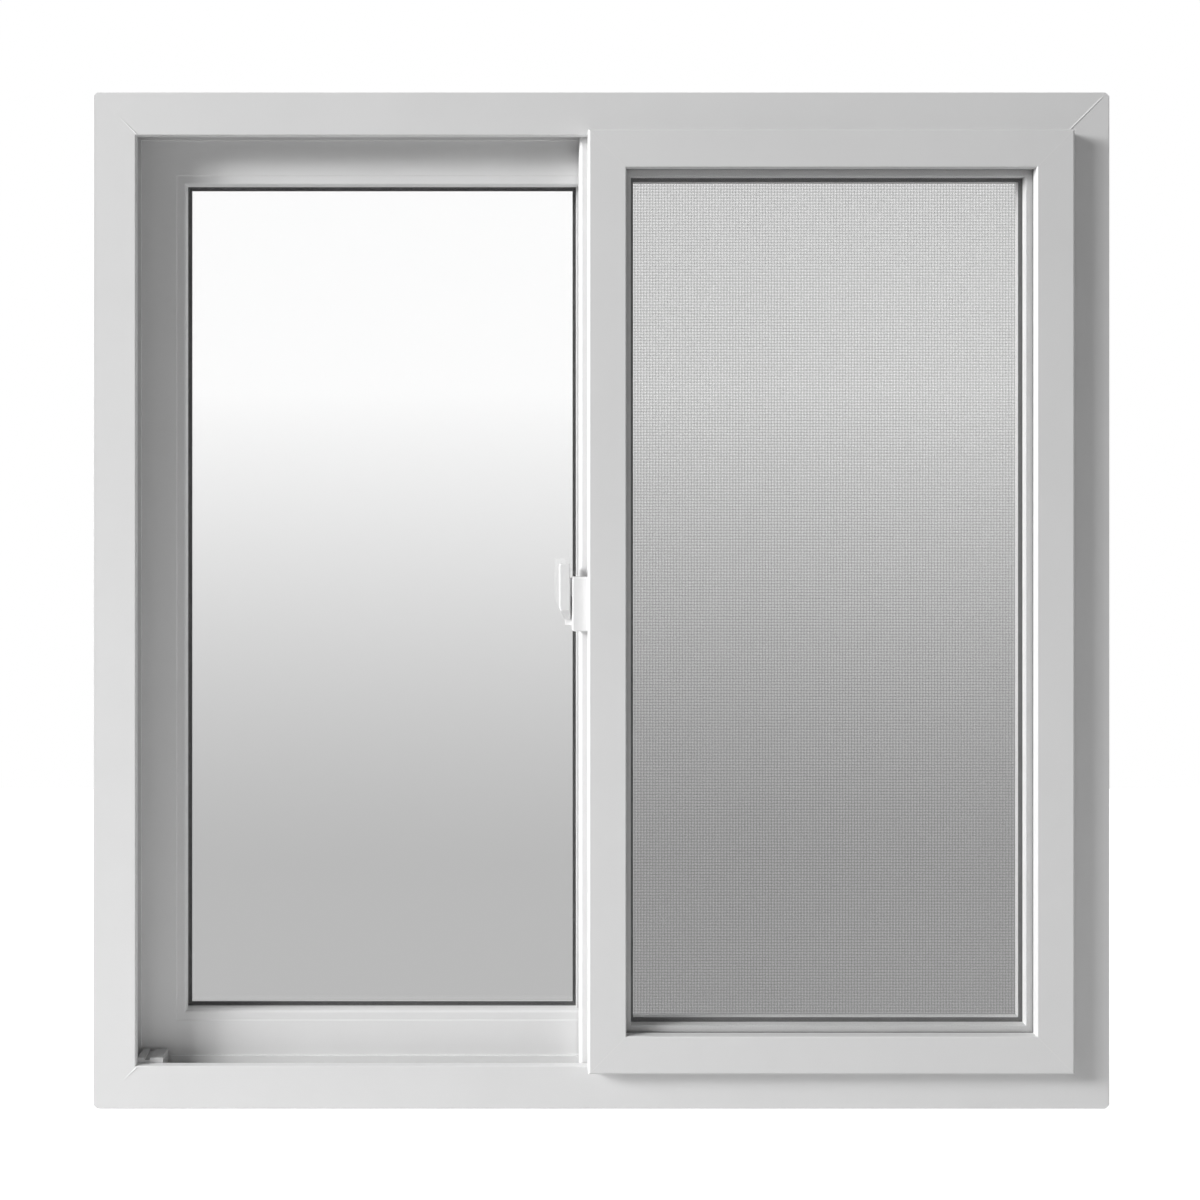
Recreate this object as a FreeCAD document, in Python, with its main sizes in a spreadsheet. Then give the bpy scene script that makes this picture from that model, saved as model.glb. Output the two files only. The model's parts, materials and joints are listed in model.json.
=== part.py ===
"""Horizontal sliding window: fixed light on the left, sliding sash on the right, insect screen outside.

X runs to the right as seen from the room, Y from the room to the outside, Z up. The origin is the
middle of the sill's underside. Depths below are measured from the frame's room face.
"""

import FreeCAD
import Part
import Sketcher
import os
from types import SimpleNamespace

# Every driving size in millimetres: name, value, what it measures
SIZES = (
    ("frame_width", 901.7, "outer width of the frame"),
    ("frame_height", 901.7, "outer height of the frame"),
    ("frame_depth", 82.5, "room face to outer face of the frame"),
    ("frame_face", 38.1, "outer edge to lip on the room face"),
    ("frame_wall", 2.4, "wall of the hollow frame bars"),
    ("corner_cut", 4.0, "cut across the frame's outer corners"),
    ("edge_round", 1.2, "rounded edges of the frame"),
    ("lip_depth", 7.0, "depth of the lip in front of the sash's channel"),
    ("channel_floor", 18.0, "outer edge to the channels' floor"),
    ("rail_width", 3.0, "width of the running rail"),
    ("rail_rise", 9.0, "rise of the running rail above the floor"),
    ("rib_width", 2.0, "rib between the sash's channel and the fixed light"),
    ("rib_rise", 17.5, "rise of that rib above the floor"),
    ("screen_rib_width", 2.5, "rib between the fixed light and the screen's track"),
    ("screen_rib_rise", 10.0, "rise of that rib above the floor"),
    ("screen_track", 10.0, "width of the screen's track"),
    ("outer_leg", 30.0, "outer edge to the tip of the outer leg"),
    ("fixing_spacing", 600.0, "between the two fixing holes of a jamb"),
    ("fixing_radius", 2.75, "radius of a fixing hole"),
    ("weep_length", 28.0, "length of a drain slot in the sill"),
    ("weep_height", 5.0, "height of a drain slot in the sill"),
    ("weep_rise", 7.5, "seat to the lower edge of a drain slot"),
    ("sash_depth", 41.5, "room face to outer face of the sash"),
    ("sash_proud", 13.5, "sash's room face in front of the frame's"),
    ("sash_wall", 2.4, "wall of the hollow sash bars"),
    ("sash_reach", 12.3, "sash's flange beyond the middle of the window"),
    ("flange_lap", 2.0, "flange over the frame's lip"),
    ("flange_gap", 1.5, "flange in front of the frame's face"),
    ("back_reach", 6.5, "running part of the sash beyond its flange"),
    ("lip_gap", 1.5, "running part behind the frame's lip"),
    ("tip_gap", 4.0, "tip of the lip to the bottom of the sash's groove"),
    ("run_gap", 1.0, "sash in front of the rib"),
    ("sash_face", 33.4, "flange's edge to the inner edge of the face"),
    ("sash_round", 1.2, "rounded inner edge of the face"),
    ("flange_round", 2.0, "rounded outer edge of the flange"),
    ("shoulder_round", 3.0, "rounded edge of the running part"),
    ("slot_width", 8.0, "slot along the sash's edge for the rollers"),
    ("slot_depth", 14.0, "depth of that slot"),
    ("glass_recess", 10.5, "sash's face to its room pane"),
    ("pane", 3.0, "thickness of one pane"),
    ("cavity", 9.0, "space between two panes"),
    ("glass_bite", 6.0, "glass hidden behind the inner edge of the bars"),
    ("edge_gap", 3.0, "glass edge to the floor of its rebate"),
    ("gasket_depth", 1.5, "gasket between the bars and the room pane"),
    ("gasket_width", 7.0, "width of that gasket"),
    ("bead_gasket", 1.0, "seal between outer pane and bead"),
    ("seal_width", 6.0, "width of that seal"),
    ("bead_rise", 17.0, "height of the glazing beads"),
    ("bead_slope", 3.0, "sloped edge of the glazing beads"),
    ("bead_mitre", 0.4, "length left out of each bead for its mitres"),
    ("spacer_inset", 3.0, "glass edge to spacer"),
    ("spacer_rise", 8.0, "height of the spacer"),
    ("block_length", 60.0, "length of a setting block"),
    ("fixed_depth", 28.0, "depth of the fixed light's channel"),
    ("fixed_show", 30.5, "frame's lip to the inner edge of the fixed light's face"),
    ("fixed_recess", 8.0, "fixed light's face to its room pane"),
    ("fixed_round", 2.5, "rounded inner edge of the fixed light's face"),
    ("fixed_fit", 0.2, "fixed light to the walls of its channel"),
    ("meeting_width", 40.0, "fixed meeting stile, outer edge to inner edge"),
    ("meeting_lap", 4.0, "sash's meeting stile over the fixed light's inner edge"),
    ("roller_inset", 70.0, "sash's corner to a roller's axle"),
    ("wheel_radius", 6.5, "wheel's tread"),
    ("wheel_flange", 1.5, "wheel's flanges beyond the tread"),
    ("wheel_side", 1.0, "thickness of a wheel's flange"),
    ("wheel_play", 0.2, "wheel to rail and to axle"),
    ("axle_radius", 2.0, "roller's axle"),
    ("housing_length", 60.0, "length of a roller's housing"),
    ("housing_plate", 0.9, "plate of a roller's housing"),
    ("housing_fit", 0.2, "housing to the walls of its slot"),
    ("pile_width", 4.5, "width of a pile seal"),
    ("pile_inset", 24.0, "end of a pile seal from the sash's corner"),
    ("pile_play", 0.3, "pile seal to the face it brushes"),
    ("latch_width", 13.6, "width of the latch's base"),
    ("latch_height", 48.0, "height of the latch's base"),
    ("latch_depth", 13.0, "depth of the latch's base"),
    ("latch_drop", 3.0, "latch's middle under the window's middle"),
    ("latch_round", 2.0, "rounded corners of the latch"),
    ("latch_soft", 1.2, "softened front edges of the latch"),
    ("plate_reach", 6.0, "latch's back plate beyond its base"),
    ("plate_depth", 4.0, "thickness of that plate"),
    ("plate_inset", 5.0, "plate's ends from the base's ends"),
    ("lever_width", 9.8, "width of the latch's lever"),
    ("lever_height", 49.5, "height of the latch's lever"),
    ("lever_depth", 8.0, "depth of the latch's lever"),
    ("lever_gap", 1.7, "lever beside the base"),
    ("lever_rise", 10.5, "lower end of the lever above the base's"),
    ("lever_tip", 5.0, "width of the lever's lower end"),
    ("lever_bevel", 8.0, "height of the sloped underside of the lever's lower end"),
    ("lever_nose", 1.5, "thickness left at that end"),
    ("lever_neck", 17.0, "height of the lever's neck"),
    ("neck_rise", 20.0, "neck above the lever's lower end"),
    ("neck_depth", 5.0, "depth of the lever's neck"),
    ("stop_length", 23.5, "length of the stop block"),
    ("stop_height", 24.6, "height of the stop block above the floor"),
    ("stop_round", 1.5, "rounded upper ends of the stop block"),
    ("notch_width", 4.5, "notch for a driver in the stop block"),
    ("notch_depth", 2.2, "depth of that notch"),
    ("notch_place", 9.5, "stop block's left end to the middle of the notch"),
    ("stop_inset", 37.0, "frame's outer edge to the stop block"),
    ("screen_bar", 19.0, "width of a screen bar"),
    ("screen_depth", 8.0, "depth of a screen bar"),
    ("screen_wall", 0.9, "wall of a screen bar"),
    ("screen_reach", 2.0, "screen's edge from the middle of the window"),
    ("screen_side", 1.0, "screen beside the right jamb's floor"),
    ("screen_lift", 8.0, "screen under the head's floor"),
    ("screen_inset", 1.0, "screen behind its rib"),
    ("spline_place", 11.0, "bar's outer edge to the spline's groove"),
    ("spline_width", 4.5, "width of the spline's groove"),
    ("spline_depth", 4.0, "depth of the spline's groove"),
    ("mesh_depth", 0.4, "thickness of the insect mesh"),
    ("mesh_inset", 0.8, "mesh's seat below the bar's outer face"),
    ("tab_length", 22.0, "length of a pull tab"),
    ("tab_height", 9.0, "height of a pull tab"),
    ("tab_depth", 1.5, "thickness of a pull tab"),
    ("tab_round", 4.0, "rounded corners of a pull tab"),
    ("tab_inset", 86.0, "screen's side to the middle of a pull tab"),
    ("cover_length", 42.0, "length of a drain cover"),
    ("cover_height", 13.0, "height of a drain cover"),
    ("cover_depth", 3.5, "depth of a drain cover at its foot"),
    ("cover_top", 1.2, "depth of a drain cover at its top"),
    ("cover_foot", 4.0, "height of the upright foot of a drain cover"),
    ("cover_wall", 1.0, "wall of a drain cover"),
)


class Size:
    """A length as the expression that the document keeps and the number that it has now."""

    def __init__(self, text, value):
        self.text = text
        self.value = value

    @staticmethod
    def of(other):
        if isinstance(other, Size):
            return other
        return Size(repr(float(other)), float(other))

    def __add__(self, other):
        other = Size.of(other)
        return Size(f"({self.text} + {other.text})", self.value + other.value)

    def __sub__(self, other):
        other = Size.of(other)
        return Size(f"({self.text} - {other.text})", self.value - other.value)

    def __mul__(self, other):
        other = Size.of(other)
        return Size(f"({self.text} * {other.text})", self.value * other.value)

    def __truediv__(self, other):
        other = Size.of(other)
        return Size(f"({self.text} / {other.text})", self.value / other.value)

    def __neg__(self):
        return Size(f"(0 - {self.text})", -self.value)


doc = FreeCAD.newDocument("sliding_window")
sheet = doc.addObject("Spreadsheet::Sheet", "Sizes")
for row, (alias, number, meaning) in enumerate(SIZES, start=1):
    sheet.set(f"A{row}", meaning)
    sheet.set(f"B{row}", str(number))
    sheet.setAlias(f"B{row}", alias)
doc.recompute()

s = SimpleNamespace(**{alias: Size(f"Sizes.{alias}", number) for alias, number, _ in SIZES})
zero = Size.of(0)
# How far a cutting outline passes the face that it cuts
over = Size.of(1)
nodes = {}


def bind(item, **lengths):
    """Bind properties of an object to sizes of the sheet."""
    for name, length in lengths.items():
        item.setExpression(name, length.text)


def put(item, x, depth, z, turn=0):
    """Place an object by its distance from the middle, room face and seat, turned about the depth axis."""
    y = depth - s.frame_depth / 2
    corner = FreeCAD.Vector(x.value, y.value, z.value)
    item.Placement = FreeCAD.Placement(corner, FreeCAD.Rotation(FreeCAD.Vector(0, 1, 0), turn))
    for axis, length in (("x", x), ("y", y), ("z", z)):
        item.setExpression(f"Placement.Base.{axis}", length.text)


def keep(name, item):
    """Count an object as one of the window's pieces."""
    item.Label = name
    nodes[name] = item
    return item


def group(name, items):
    """Like pieces that share a name."""
    compound = doc.addObject("Part::Compound", name)
    compound.Links = items
    return keep(name, compound)


def sketch_on(body, plane, name):
    """An empty sketch on one of a body's own planes."""
    sketch = body.newObject("Sketcher::SketchObject", name)
    support = next(item for item in body.Origin.OriginFeatures if item.Role == plane)
    sketch.AttachmentSupport = (support, [""])
    sketch.MapMode = "FlatFace"
    return sketch


def hold_point(sketch, edge, point, across, up):
    """Hold a point of a sketch by its two distances from the sketch's origin."""
    for kind, length in (("DistanceX", across), ("DistanceY", up)):
        index = sketch.addConstraint(Sketcher.Constraint(kind, -1, 1, edge, point, length.value))
        sketch.setExpression(f"Constraints[{index}]", length.text)


def draw_loops(sketch, loops):
    """Closed outlines, each corner held by bound distances."""
    for corners in loops:
        first = sketch.GeometryCount
        points = [FreeCAD.Vector(across.value, up.value) for across, up in corners]
        for start, end in zip(points, points[1:] + points[:1]):
            sketch.addGeometry(Part.LineSegment(start, end))
        for i, (across, up) in enumerate(corners):
            before = first + (i - 1) % len(corners)
            sketch.addConstraint(Sketcher.Constraint("Coincident", before, 2, first + i, 1))
            hold_point(sketch, first + i, 1, across, up)


def draw_circles(sketch, centres, radius):
    """Circles of one bound radius at bound centres."""
    for across, up in centres:
        centre = FreeCAD.Vector(across.value, up.value)
        edge = sketch.addGeometry(Part.Circle(centre, FreeCAD.Vector(0, 0, 1), radius.value))
        hold_point(sketch, edge, 3, across, up)
        index = sketch.addConstraint(Sketcher.Constraint("Radius", edge, radius.value))
        sketch.setExpression(f"Constraints[{index}]", radius.text)


def pad(body, sketch, length, middle=True):
    """Extrude a sketch, to both sides if it is a bar's profile."""
    feature = body.newObject("PartDesign::Pad", f"{sketch.Name}_pad")
    feature.Profile = sketch
    feature.SideType = "Symmetric" if middle else "One side"
    bind(feature, Length=length)
    return feature


def cut_through(body, sketch):
    """Cut a sketch's outlines right through a body."""
    feature = body.newObject("PartDesign::Pocket", f"{sketch.Name}_cut")
    feature.Profile = sketch
    feature.Type = "ThroughAll"
    feature.SideType = "Symmetric"
    return feature


def round_edges(body, feature, edges, radius):
    """Round edges of a body's last feature."""
    rounded = body.newObject("PartDesign::Fillet", f"{body.Name}_round")
    rounded.Base = (feature, edges)
    bind(rounded, Radius=radius)
    doc.recompute()
    return rounded


def edges_along(shape, axis, corners):
    """Names of the straight edges along an axis that pass through the given points across it."""
    names = []
    others = [name for name in ("x", "y", "z") if name != axis]
    for index, edge in enumerate(shape.Edges, start=1):
        ends = [vertex.Point for vertex in edge.Vertexes]
        for corner in corners:
            place = list(zip(others, corner))
            far = max(abs(getattr(end, name) - size.value) for end in ends for name, size in place)
            if len(ends) == 2 and far < 0.01:
                names.append(f"Edge{index}")
    return names


def front_edges(shape, depth, sides):
    """Names of the edges of a face at a depth in front, without those that lie along the given sides."""
    names = []
    for index, edge in enumerate(shape.Edges, start=1):
        ends = [vertex.Point for vertex in edge.Vertexes]
        in_front = all(abs(end.y + depth.value) < 0.01 for end in ends)
        along = any(all(abs(end.x - side.value) < 0.01 for end in ends) for side in sides)
        if in_front and not along:
            names.append(f"Edge{index}")
    return names


def mitred_bar(name, loops, length, rise, starts=None, tip=None, rounds=()):
    """A bar along X with a profile in depth and rise, cut at 45 degrees at both ends.

    starts: rise at which the cut begins at the left and at the right end.
    tip: cut across the outer corner of the frame.
    rounds: pairs of a radius and the profile corners that it rounds.
    """
    body = doc.addObject("PartDesign::Body", name)
    profile = sketch_on(body, "YZ_Plane", f"{name}_profile")
    draw_loops(profile, loops)
    feature = pad(body, profile, length)
    doc.recompute()
    for radius, corners in rounds:
        feature = round_edges(body, feature, edges_along(feature.Shape, "x", corners), radius)
    ends = sketch_on(body, "XZ_Plane", f"{name}_mitres")
    half = length / 2
    spare = rise + over
    cuts = []
    for side, start in zip((-1, 1), starts or (zero, zero)):
        if tip is None:
            wedge = [
                (half, start),
                (half - (spare - start), spare),
                (half + over, spare),
                (half + over, start),
            ]
        else:
            wedge = [
                (half - tip, zero),
                (half - tip / 2, tip / 2),
                (half - spare, spare),
                (half + over, spare),
                (half + over, zero),
            ]
        cuts.append([(across * side, up) for across, up in wedge])
    draw_loops(ends, cuts)
    cut_through(body, ends)
    return body


def box(name, x, depth, z):
    """A plain block between two distances each way."""
    block = doc.addObject("Part::Box", name)
    bind(block, Length=x[1] - x[0], Width=depth[1] - depth[0], Height=z[1] - z[0])
    put(block, x[0], depth[0], z[0])
    return block


def inset(area, by):
    """A rectangle left, right, bottom, top drawn in on all sides."""
    left, right, bottom, top = area
    return left + by, right - by, bottom + by, top - by


def ring(name, area, inner, outer, depth):
    """A closed band round a rectangle, between two insets from it."""
    whole = inset(area, inner)
    hole = inset(area, outer)
    body = box(f"{name}_whole", whole[:2], depth, whole[2:])
    opening = box(f"{name}_opening", hole[:2], (depth[0] - over, depth[1] + over), hole[2:])
    cut = doc.addObject("Part::Cut", name)
    cut.Base = body
    cut.Tool = opening
    return cut


def sides(area):
    """Where the bars round a rectangle go: place, turn and length."""
    left, right, bottom, top = area
    across = (left + right) / 2
    up = (bottom + top) / 2
    return {
        "bottom": (across, bottom, 0, right - left),
        "top": (across, top, 180, right - left),
        "left": (left, up, 90, top - bottom),
        "right": (right, up, -90, top - bottom),
    }


# Depths and heights that several pieces share
half_width = s.frame_width / 2
sash_back = s.sash_depth - s.sash_proud
run_front = s.lip_depth + s.lip_gap
rib_front = sash_back + s.run_gap
rib_back = rib_front + s.rib_width
fixed_back = rib_back + s.fixed_depth
screen_rib_back = fixed_back + s.screen_rib_width
leg_front = screen_rib_back + s.screen_track
rail_middle = (run_front + sash_back) / 2
rail_front = rail_middle - s.rail_width / 2
rail_back = rail_middle + s.rail_width / 2
rail_tip = s.channel_floor + s.rail_rise
rib_tip = s.channel_floor + s.rib_rise
screen_rib_tip = s.channel_floor + s.screen_rib_rise
under_floor = s.channel_floor - s.frame_wall
glass_depth = s.pane * 2 + s.cavity

# Main frame: one hollow profile with lip, rail, two ribs and outer leg on all four sides
frame_profile = [
    [
        (zero, zero),
        (s.frame_depth, zero),
        (s.frame_depth, s.outer_leg),
        (leg_front, s.outer_leg),
        (leg_front, s.channel_floor),
        (screen_rib_back, s.channel_floor),
        (screen_rib_back, screen_rib_tip),
        (fixed_back, screen_rib_tip),
        (fixed_back, s.channel_floor),
        (rib_back, s.channel_floor),
        (rib_back, rib_tip),
        (rib_front, rib_tip),
        (rib_front, s.channel_floor),
        (rail_back, s.channel_floor),
        (rail_back, rail_tip),
        (rail_front, rail_tip),
        (rail_front, s.channel_floor),
        (s.lip_depth, s.channel_floor),
        (s.lip_depth, s.frame_face),
        (zero, s.frame_face),
    ],
    [
        (s.frame_wall, s.frame_wall),
        (rib_front, s.frame_wall),
        (rib_front, under_floor),
        (s.lip_depth - s.frame_wall, under_floor),
        (s.lip_depth - s.frame_wall, s.frame_face - s.frame_wall),
        (s.frame_wall, s.frame_face - s.frame_wall),
    ],
    [
        (rib_back, s.frame_wall),
        (fixed_back, s.frame_wall),
        (fixed_back, under_floor),
        (rib_back, under_floor),
    ],
    [
        (screen_rib_back, s.frame_wall),
        (s.frame_depth - s.frame_wall, s.frame_wall),
        (s.frame_depth - s.frame_wall, s.outer_leg - s.frame_wall),
        (leg_front + s.frame_wall, s.outer_leg - s.frame_wall),
        (leg_front + s.frame_wall, under_floor),
        (screen_rib_back, under_floor),
    ],
]
frame_corners = [
    (zero, zero),
    (zero, s.frame_face),
    (s.frame_depth, zero),
    (s.frame_depth, s.outer_leg),
]
frame_rounds = [(s.edge_round, frame_corners)]
frame_area = (-half_width, half_width, zero, s.frame_height)
frame_names = {
    "bottom": "frame_sill",
    "top": "frame_head",
    "left": "frame_jamb_left",
    "right": "frame_jamb_right",
}
for side, (x, z, turn, length) in sides(frame_area).items():
    name = frame_names[side]
    bar = mitred_bar(name, frame_profile, length, s.frame_face, tip=s.corner_cut, rounds=frame_rounds)
    if side in ("left", "right"):
        holes = sketch_on(bar, "XY_Plane", f"{name}_fixings")
        hole_depth = (rail_back + rib_front) / 2
        centres = [(s.fixing_spacing / 2 * sign, hole_depth) for sign in (-1, 1)]
        draw_circles(holes, centres, s.fixing_radius)
        cut_through(bar, holes)
    if side == "bottom":
        slots = sketch_on(bar, "XZ_Plane", f"{name}_drains")
        slots.setExpression("AttachmentOffset.Base.z", (-s.frame_depth).text)
        loops = []
        for sign in (-1, 1):
            near = s.frame_width / 4 * sign - s.weep_length / 2
            far = near + s.weep_length
            low = s.weep_rise
            high = s.weep_rise + s.weep_height
            loops.append([(near, low), (far, low), (far, high), (near, high)])
        draw_loops(slots, loops)
        drain = bar.newObject("PartDesign::Pocket", f"{name}_drain_cut")
        drain.Profile = slots
        drain.Reversed = True
        bind(drain, Length=s.frame_wall + over)
    put(bar, x, zero, z, turn)
    keep(name, bar)

# Drain covers on the outer face of the sill: sloped hoods, open at the back and at the foot
covers = []
for sign, word in ((-1, "left"), (1, "right")):
    cover = doc.addObject("PartDesign::Body", f"weep_cover_{word}")
    hood = sketch_on(cover, "YZ_Plane", f"weep_cover_{word}_hood")
    draw_loops(
        hood,
        [
            [
                (zero, zero),
                (s.cover_depth, zero),
                (s.cover_depth, s.cover_foot),
                (s.cover_top, s.cover_height),
                (zero, s.cover_height),
            ]
        ],
    )
    pad(cover, hood, s.cover_length)
    inside = sketch_on(cover, "YZ_Plane", f"weep_cover_{word}_inside")
    draw_loops(
        inside,
        [
            [
                (zero, zero),
                (s.cover_depth - s.cover_wall, zero),
                (s.cover_depth - s.cover_wall, s.cover_foot),
                (zero, s.cover_height - s.cover_wall * 2),
            ]
        ],
    )
    hollow = cover.newObject("PartDesign::Pocket", f"weep_cover_{word}_hollow")
    hollow.Profile = inside
    hollow.SideType = "Symmetric"
    bind(hollow, Length=s.cover_length - s.cover_wall * 2)
    put(
        cover,
        s.frame_width / 4 * sign,
        s.frame_depth,
        s.weep_rise + s.weep_height / 2 - s.cover_height / 2,
    )
    covers.append(cover)
group("weep_covers", covers)

# Stop block that straddles the rail at the left end of the sill's channel
stop = doc.addObject("PartDesign::Body", "sash_stop")
stop_profile = sketch_on(stop, "YZ_Plane", "sash_stop_profile")
slot_low = rail_front - s.pile_play
slot_high = rail_back + s.pile_play
draw_loops(
    stop_profile,
    [
        [
            (s.lip_depth + s.pile_play, zero),
            (slot_low, zero),
            (slot_low, s.rail_rise + s.pile_play),
            (slot_high, s.rail_rise + s.pile_play),
            (slot_high, zero),
            (sash_back, zero),
            (sash_back, s.stop_height),
            (s.lip_depth + s.pile_play, s.stop_height),
        ]
    ],
)
stop_pad = pad(stop, stop_profile, s.stop_length)
doc.recompute()
stop_half = s.stop_length / 2
stop_ends = edges_along(stop_pad.Shape, "y", [(-stop_half, s.stop_height), (stop_half, s.stop_height)])
round_edges(stop, stop_pad, stop_ends, s.stop_round)
notch = sketch_on(stop, "XZ_Plane", "sash_stop_notch")
notch_left = s.notch_place - s.notch_width / 2 - stop_half
notch_right = notch_left + s.notch_width
notch_floor = s.stop_height - s.notch_depth
notch_top = s.stop_height + over
draw_loops(
    notch,
    [
        [
            (notch_left, notch_floor),
            (notch_right, notch_floor),
            (notch_right, notch_top),
            (notch_left, notch_top),
        ]
    ],
)
cut_through(stop, notch)
put(stop, s.stop_inset + s.stop_length / 2 - half_width, zero, s.channel_floor)
keep("sash_stop", stop)


def bead_loops(front, back):
    """Profile of a glazing bead that stands on the floor of the glass rebate."""
    return [
        [
            (front, zero),
            (back, zero),
            (back, s.bead_rise - s.bead_slope),
            (front + (back - front) / 3, s.bead_rise),
            (front, s.bead_rise),
        ]
    ]


def mitred_ring(name, area, loops, rise, gap):
    """Four like bars round an area, a little short of each other at the mitres."""
    bars = []
    for side, (x, z, turn, length) in sides(area).items():
        bar = mitred_bar(f"{name}_{side}", loops, length - gap, rise)
        put(bar, x, zero, z, turn)
        bars.append(bar)
    return group(name, bars)


def glazing(prefix, area, sight, pane_front, back):
    """Panes, spacer, gasket, setting blocks and beads of a light whose bars stand round an area."""
    edge = sight - s.glass_bite
    floor = edge - s.edge_gap
    glass = inset(area, edge)
    room_back = pane_front + s.pane
    outer_front = room_back + s.cavity
    outer_back = outer_front + s.pane
    for pane, depth in (("room", (pane_front, room_back)), ("outer", (outer_front, outer_back))):
        name = f"{prefix}_{pane}_pane"
        keep(name, box(name, glass[:2], depth, glass[2:]))
    spacer_low = edge + s.spacer_inset
    spacer_depth = (room_back, outer_front)
    keep(
        f"{prefix}_spacer",
        ring(f"{prefix}_spacer", area, spacer_low, spacer_low + s.spacer_rise, spacer_depth),
    )
    gasket_seat = (pane_front - s.gasket_depth, pane_front)
    keep(
        f"{prefix}_gasket",
        ring(f"{prefix}_gasket", area, sight - s.gasket_width, sight, gasket_seat),
    )
    bead_top = floor + s.bead_rise
    seal_depth = (outer_back, outer_back + s.bead_gasket)
    keep(
        f"{prefix}_bead_seal",
        ring(f"{prefix}_bead_seal", area, bead_top - s.seal_width, bead_top, seal_depth),
    )
    blocks = []
    for quarter, word in ((1, "left"), (3, "right")):
        middle = glass[0] + (glass[1] - glass[0]) * quarter / 4
        blocks.append(
            box(
                f"{prefix}_setting_block_{word}",
                (middle - s.block_length / 2, middle + s.block_length / 2),
                (pane_front, outer_back),
                (glass[2] - s.edge_gap, glass[2]),
            )
        )
    group(f"{prefix}_setting_blocks", blocks)
    bead_profile = bead_loops(outer_back + s.bead_gasket, back)
    mitred_ring(f"{prefix}_glazing_beads", inset(area, floor), bead_profile, s.bead_rise, s.bead_mitre)


# Fixed light: bars set into the frame's middle channel, the meeting stile narrower than the rest
fixed_edge = s.channel_floor + s.fixed_fit
fixed_sight = s.frame_face + s.fixed_show - fixed_edge
fixed_pane = rib_back + s.fixed_recess
fixed_rear = fixed_back - s.fixed_fit
meeting_sight = s.meeting_lap - s.sash_reach - s.back_reach
meeting_start = fixed_sight - s.meeting_width


def fixed_loops(sight):
    """Profile of a fixed bar whose outer edge lies the given distance from its inner edge."""
    floor = sight - s.glass_bite - s.edge_gap
    seat = fixed_pane - s.gasket_depth
    return [
        [
            (rib_back, zero),
            (rib_back, sight),
            (seat, sight),
            (seat, floor),
            (fixed_rear, floor),
            (fixed_rear, zero),
        ],
        [
            (rib_back + s.frame_wall, s.frame_wall),
            (fixed_rear - s.frame_wall, s.frame_wall),
            (fixed_rear - s.frame_wall, floor - s.frame_wall),
            (seat - s.frame_wall, floor - s.frame_wall),
            (seat - s.frame_wall, sight - s.frame_wall * 2),
            (rib_back + s.frame_wall, sight - s.frame_wall * 2),
        ],
    ]


fixed_area = (
    fixed_edge - half_width,
    meeting_sight + s.meeting_width,
    fixed_edge,
    s.frame_height - fixed_edge,
)
fixed_names = {
    "bottom": "fixed_bottom_rail",
    "top": "fixed_top_rail",
    "left": "fixed_side_stile",
    "right": "fixed_meeting_stile",
}
for side, (x, z, turn, length) in sides(fixed_area).items():
    name = fixed_names[side]
    starts = {"bottom": (zero, meeting_start), "top": (meeting_start, zero)}.get(side)
    sight = fixed_sight
    if side == "right":
        sight = s.meeting_width
        length = length - meeting_start * 2
    rounds = [(s.fixed_round, [(rib_back, sight)])]
    bar = mitred_bar(name, fixed_loops(sight), length, sight, starts=starts, rounds=rounds)
    put(bar, x, zero, z, turn)
    keep(name, bar)

# The fixed glass lies the same distance behind the inner edge on all four sides
fixed_glass_area = (
    fixed_area[0] + meeting_start,
    fixed_area[1],
    fixed_area[2] + meeting_start,
    fixed_area[3] - meeting_start,
)
glazing("fixed", fixed_glass_area, s.meeting_width, fixed_pane, fixed_rear)

# Sliding sash: flange in front of the frame's lip, running part behind it, slot for the rollers
sash_edge = s.frame_face - s.flange_lap - s.back_reach
sash_area = (
    -(s.sash_reach + s.back_reach),
    half_width - sash_edge,
    sash_edge,
    s.frame_height - sash_edge,
)
sash_inner = s.back_reach + s.sash_face
sash_pane = s.glass_recess - s.sash_proud
sash_seat = sash_pane - s.gasket_depth
sash_floor = sash_inner - s.glass_bite - s.edge_gap
groove_floor = s.back_reach + s.flange_lap + s.tip_gap
slot_front = rail_middle - s.slot_width / 2
slot_back = rail_middle + s.slot_width / 2
chamber_low = s.slot_depth + s.sash_wall
sash_profile = [
    [
        (-s.sash_proud, s.back_reach),
        (-s.sash_proud, sash_inner),
        (sash_seat, sash_inner),
        (sash_seat, sash_floor),
        (sash_back, sash_floor),
        (sash_back, zero),
        (slot_back, zero),
        (slot_back, s.slot_depth),
        (slot_front, s.slot_depth),
        (slot_front, zero),
        (run_front, zero),
        (run_front, groove_floor),
        (-s.flange_gap, groove_floor),
        (-s.flange_gap, s.back_reach),
    ],
    [
        (s.sash_wall - s.sash_proud, chamber_low),
        (sash_back - s.sash_wall, chamber_low),
        (sash_back - s.sash_wall, sash_floor - s.sash_wall),
        (sash_seat - s.sash_wall, sash_floor - s.sash_wall),
        (sash_seat - s.sash_wall, sash_inner - s.sash_wall),
        (s.sash_wall - s.sash_proud, sash_inner - s.sash_wall),
    ],
]
sash_rounds = [
    (s.sash_round, [(-s.sash_proud, sash_inner)]),
    (s.flange_round, [(-s.sash_proud, s.back_reach)]),
    (s.shoulder_round, [(run_front, zero)]),
]
sash_names = {
    "bottom": "sash_bottom_rail",
    "top": "sash_top_rail",
    "left": "sash_meeting_stile",
    "right": "sash_jamb_stile",
}
for side, (x, z, turn, length) in sides(sash_area).items():
    bar = mitred_bar(sash_names[side], sash_profile, length, sash_inner, rounds=sash_rounds)
    put(bar, x, zero, z, turn)
    keep(sash_names[side], bar)
glazing("sash", sash_area, sash_inner, sash_pane, sash_back)

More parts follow.
